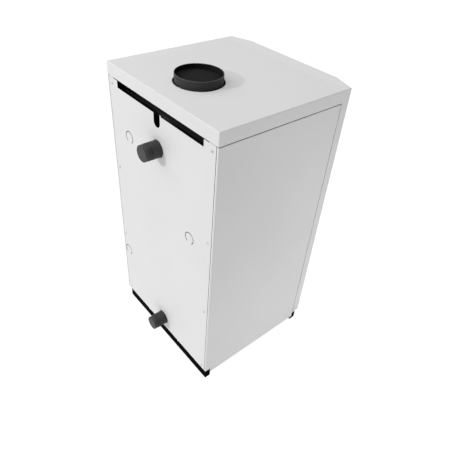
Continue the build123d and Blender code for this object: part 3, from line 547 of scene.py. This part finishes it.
def paint_cad():
    slots = {row["node"]: row["material_slot"] for row in frame["record"]["subparts"]}
    for name, node in cad.items():
        finish = NODE_FINISHES.get(name) or FINISHES[slots[name]]
        node.data.materials.clear()
        node.data.materials.append(finish)


paint_cad()


# Bench work: how the added pieces are made
def clear_bench():
    if bpy.context.object and bpy.context.object.mode != "OBJECT":
        bpy.ops.object.mode_set(mode="OBJECT")
    bpy.ops.object.select_all(action="DESELECT")


def take_up(piece):
    clear_bench()
    piece.select_set(True)
    bpy.context.view_layer.objects.active = piece


def fix_place():
    bpy.ops.object.transform_apply(location=True, rotation=True, scale=True)


def settle(piece, name, finish, body):
    """Give a finished piece its name, finish, body and material slot."""
    take_up(piece)
    fix_place()
    piece.name = name
    piece.data.name = name
    piece.data.materials.clear()
    piece.data.materials.append(finish)
    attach(piece, body)


def round_off(piece, width):
    bevel = piece.modifiers.new("round_off", "BEVEL")
    bevel.width = width
    bevel.segments = 2
    bevel.limit_method = "ANGLE"
    take_up(piece)
    bpy.ops.object.modifier_apply(modifier=bevel.name)


def block(low, high):
    """A block between two opposite corners."""
    clear_bench()
    middle = [(a + b) / 2 for a, b in zip(low, high)]
    bpy.ops.mesh.primitive_cube_add(size=1, location=middle)
    piece = bpy.context.object
    piece.scale = [b - a for a, b in zip(low, high)]
    fix_place()
    return piece


def soft_block(low, high, soft):
    piece = block(low, high)
    round_off(piece, soft)
    return piece


def sleeve(low, high, axis, wall, outwards, soft):
    """A block opened at both ends along one axis and given a wall."""
    piece = block(low, high)
    take_up(piece)
    bpy.ops.object.mode_set(mode="EDIT")
    bpy.ops.mesh.select_mode(type="FACE")
    bpy.ops.mesh.select_all(action="DESELECT")
    bpy.ops.object.mode_set(mode="OBJECT")
    for face in piece.data.polygons:
        face.select = abs(face.normal[axis]) > 0.9
    bpy.ops.object.mode_set(mode="EDIT")
    bpy.ops.mesh.delete(type="FACE")
    bpy.ops.object.mode_set(mode="OBJECT")
    thick = piece.modifiers.new("wall", "SOLIDIFY")
    thick.thickness = wall
    thick.offset = 1 if outwards else -1
    bpy.ops.object.modifier_apply(modifier=thick.name)
    round_off(piece, soft)
    return piece


def joined(pieces):
    clear_bench()
    for piece in pieces:
        piece.select_set(True)
    bpy.context.view_layer.objects.active = pieces[0]
    bpy.ops.object.join()
    return bpy.context.object


def repeated(piece, moves):
    """Copies of a piece, each with its own mesh, joined into one."""
    copies = []
    for move in moves:
        twin = piece.copy()
        twin.data = piece.data.copy()
        twin.data.transform(move)
        bpy.context.scene.collection.objects.link(twin)
        copies.append(twin)
    bpy.data.objects.remove(piece, do_unlink=True)
    return joined(copies)


def turned_about(centre, angle):
    """A turn about a line along Y through a point."""
    return Matrix.Translation(centre) @ Matrix.Rotation(angle, 4, "Y") @ Matrix.Translation(-centre)


def number(text, at, height):
    """A printed number that faces the front."""
    clear_bench()
    bpy.ops.object.text_add(location=at, rotation=(QUARTER, 0, 0))
    piece = bpy.context.object
    piece.data.body = text
    piece.data.size = height
    piece.data.align_x = "CENTER"
    piece.data.align_y = "CENTER"
    piece.data.extrude = LETTER_DEEP
    piece.data.resolution_u = 4
    bpy.ops.object.convert(target="MESH")
    fix_place()
    return bpy.context.object


def dome(radius, height, at):
    """A domed head that faces the front."""
    clear_bench()
    bpy.ops.mesh.primitive_uv_sphere_add(segments=20, ring_count=12, radius=radius)
    piece = bpy.context.object
    bpy.ops.object.mode_set(mode="EDIT")
    bpy.ops.mesh.select_all(action="SELECT")
    bpy.ops.mesh.bisect(plane_co=(0, 0, 0), plane_no=(0, 1, 0), use_fill=True, clear_outer=True)
    bpy.ops.object.mode_set(mode="OBJECT")
    piece.scale = (1, height / radius, 1)
    piece.location = at
    fix_place()
    bpy.ops.object.shade_smooth_by_angle(angle=math.radians(40))
    return piece


def disc(sides, radius, depth, at, soft):
    """A short round or six-sided head on a line along Y."""
    clear_bench()
    bpy.ops.mesh.primitive_cylinder_add(
        vertices=sides, radius=radius, depth=depth, location=at, rotation=(QUARTER, 0, 0)
    )
    piece = bpy.context.object
    fix_place()
    round_off(piece, soft)
    return piece


# Thermometer: its scale and its plain numbers
SCALE_START = -120
SCALE_STEP = 10
SCALE_TICKS = 25
TICK_OUT = 0.0228
NUMBER_RING = 0.0158
TICK_SOFT = 0.00004
PRINT_DEEP = 0.00012
LETTER_DEEP = 0.00004
SCALE_NUMBER = 0.0050
LAST_DEGREE = 120


def thermometer_scale():
    top = GAUGE.z + TICK_OUT
    turns = [math.radians(SCALE_START + SCALE_STEP * tick) for tick in range(SCALE_TICKS)]
    marks = []
    for half, long, chosen in ((0.00032, 0.0030, turns[::2]), (0.00020, 0.0018, turns[1::2])):
        tick = soft_block((-half, GAUGE.y - PRINT_DEEP, top - long), (half, GAUGE.y, top), TICK_SOFT)
        marks.append(repeated(tick, [turned_about(GAUGE, turn) for turn in chosen]))
    for degrees in range(0, LAST_DEGREE + 1, 20):
        turn = math.radians(SCALE_START + 2 * degrees)
        across, up = NUMBER_RING * math.sin(turn), NUMBER_RING * math.cos(turn)
        marks.append(number(str(degrees), GAUGE + Vector((across, -PRINT_DEEP, up)), SCALE_NUMBER))
    settle(joined(marks), "thermometer_scale", PRINT_INK, "casing")


thermometer_scale()

# Gas control: the knob's pointer line and the numbers round it
KNOB_MARK_RING = 0.0292
KNOB_MARKS = {0: "0", 90: "1", 135: "2", 180: "3", 225: "4", 270: "5"}
KNOB_NUMBER = 0.0062
FASCIA_PRINT = 0.00008
POINTER_HALF = 0.0011
POINTER_FROM = 0.0080
POINTER_TO = 0.0205
POINTER_PROUD = 0.0008
POINTER_SUNK = 0.0002
POINTER_SOFT = 0.0003


def knob_marks():
    low = KNOB + Vector((-POINTER_HALF, -POINTER_PROUD, POINTER_FROM))
    high = KNOB + Vector((POINTER_HALF, POINTER_SUNK, POINTER_TO))
    settle(soft_block(low, high, POINTER_SOFT), "knob_pointer", WHITE_MARK, "gas_knob")
    marks = []
    for degrees, text in KNOB_MARKS.items():
        turn = math.radians(degrees)
        across, up = KNOB_MARK_RING * math.sin(turn), KNOB_MARK_RING * math.cos(turn)
        at = (KNOB.x - across, FASCIA - FASCIA_PRINT, KNOB.z + up)
        marks.append(number(text, at, KNOB_NUMBER))
    settle(joined(marks), "knob_numbers", WHITE_MARK, "casing")


knob_marks()

# The window's edge trim, pressed over the cut sheet of the front panel
TRIM_WALL = 0.0012
TRIM_REAR = -0.252
TRIM_SOFT = 0.0004


def window_trim():
    low = (-WINDOW_HALF, BULGE_FRONT, WINDOW_LOW)
    high = (WINDOW_HALF, TRIM_REAR, WINDOW_HIGH)
    trim = sleeve(low, high, 1, TRIM_WALL, False, TRIM_SOFT)
    settle(trim, "window_trim", SOFT_RUBBER, "front_panel")


window_trim()

# Burner plate bolts, with their washers
BOLT_FACE = -0.118
BOLT_RADIUS = 0.0058
BOLT_HIGH = 0.0040
BOLT_SOFT = 0.0005
WASHER_RADIUS = 0.0082
WASHER_THICK = 0.0012
WASHER_SOFT = 0.0003
BOLT_OUT = 0.0030
WASHER_OUT = 0.0005
BOLT_PLACES = [(x, z) for z in (0.072, 0.184, 0.298) for x in (-0.160, -0.056, 0.056, 0.160)]


def burner_plate_bolts():
    head = disc(6, BOLT_RADIUS, BOLT_HIGH, (0, BOLT_FACE - BOLT_OUT, 0), BOLT_SOFT)
    washer = disc(32, WASHER_RADIUS, WASHER_THICK, (0, BOLT_FACE - WASHER_OUT, 0), WASHER_SOFT)
    moves = [Matrix.Translation((x, 0, z)) for x, z in BOLT_PLACES]
    bolts = repeated(joined([head, washer]), moves)
    settle(bolts, "burner_plate_bolts", ZINC, "casing")


burner_plate_bolts()

# Straps round the insulation
STRAP_HEIGHTS = (0.40, 0.56, 0.72)
STRAP_HALF_WIDE = 0.008
STRAP_HALF = 0.1972
STRAP_FRONT = -0.1272
STRAP_REAR = 0.1872
STRAP_THICK = 0.0006
STRAP_SOFT = 0.0002


def insulation_straps():
    low = (-STRAP_HALF, STRAP_FRONT, -STRAP_HALF_WIDE)
    high = (STRAP_HALF, STRAP_REAR, STRAP_HALF_WIDE)
    strap = sleeve(low, high, 2, STRAP_THICK, True, STRAP_SOFT)
    straps = repeated(strap, [Matrix.Translation((0, 0, height)) for height in STRAP_HEIGHTS])
    settle(straps, "insulation_straps", ZINC, "casing")


insulation_straps()

# Rivets in the collar's flange, and the screws of the gas valve
FLANGE_TOP = 0.9065
RIVET_RING = 0.0745
RIVET_COUNT = 12
RIVET_RADIUS = 0.0032
RIVET_HIGH = 0.0016
VALVE_FACE = -0.196
SCREW_RADIUS = 0.0034
SCREW_HIGH = 0.0022
SCREW_PLACES = [(x, z) for x in (-0.092, -0.008) for z in (0.197, 0.262)]


def small_fixings():
    lying = Matrix.Translation((RIVET_RING, 0, FLANGE_TOP)) @ Matrix.Rotation(-QUARTER, 4, "X")
    flue_line = Matrix.Translation((0, FLUE_Y, 0))
    around = []
    for place in range(RIVET_COUNT):
        turn = math.tau * (place + 0.5) / RIVET_COUNT
        around.append(flue_line @ Matrix.Rotation(turn, 4, "Z") @ lying)
    rivets = repeated(dome(RIVET_RADIUS, RIVET_HIGH, (0, 0, 0)), around)
    settle(rivets, "collar_rivets", ZINC, "casing")
    corners = [Matrix.Translation((x, 0, z)) for x, z in SCREW_PLACES]
    screws = repeated(dome(SCREW_RADIUS, SCREW_HIGH, (0, VALVE_FACE, 0)), corners)
    settle(screws, "valve_screws", ZINC, "casing")


small_fixings()
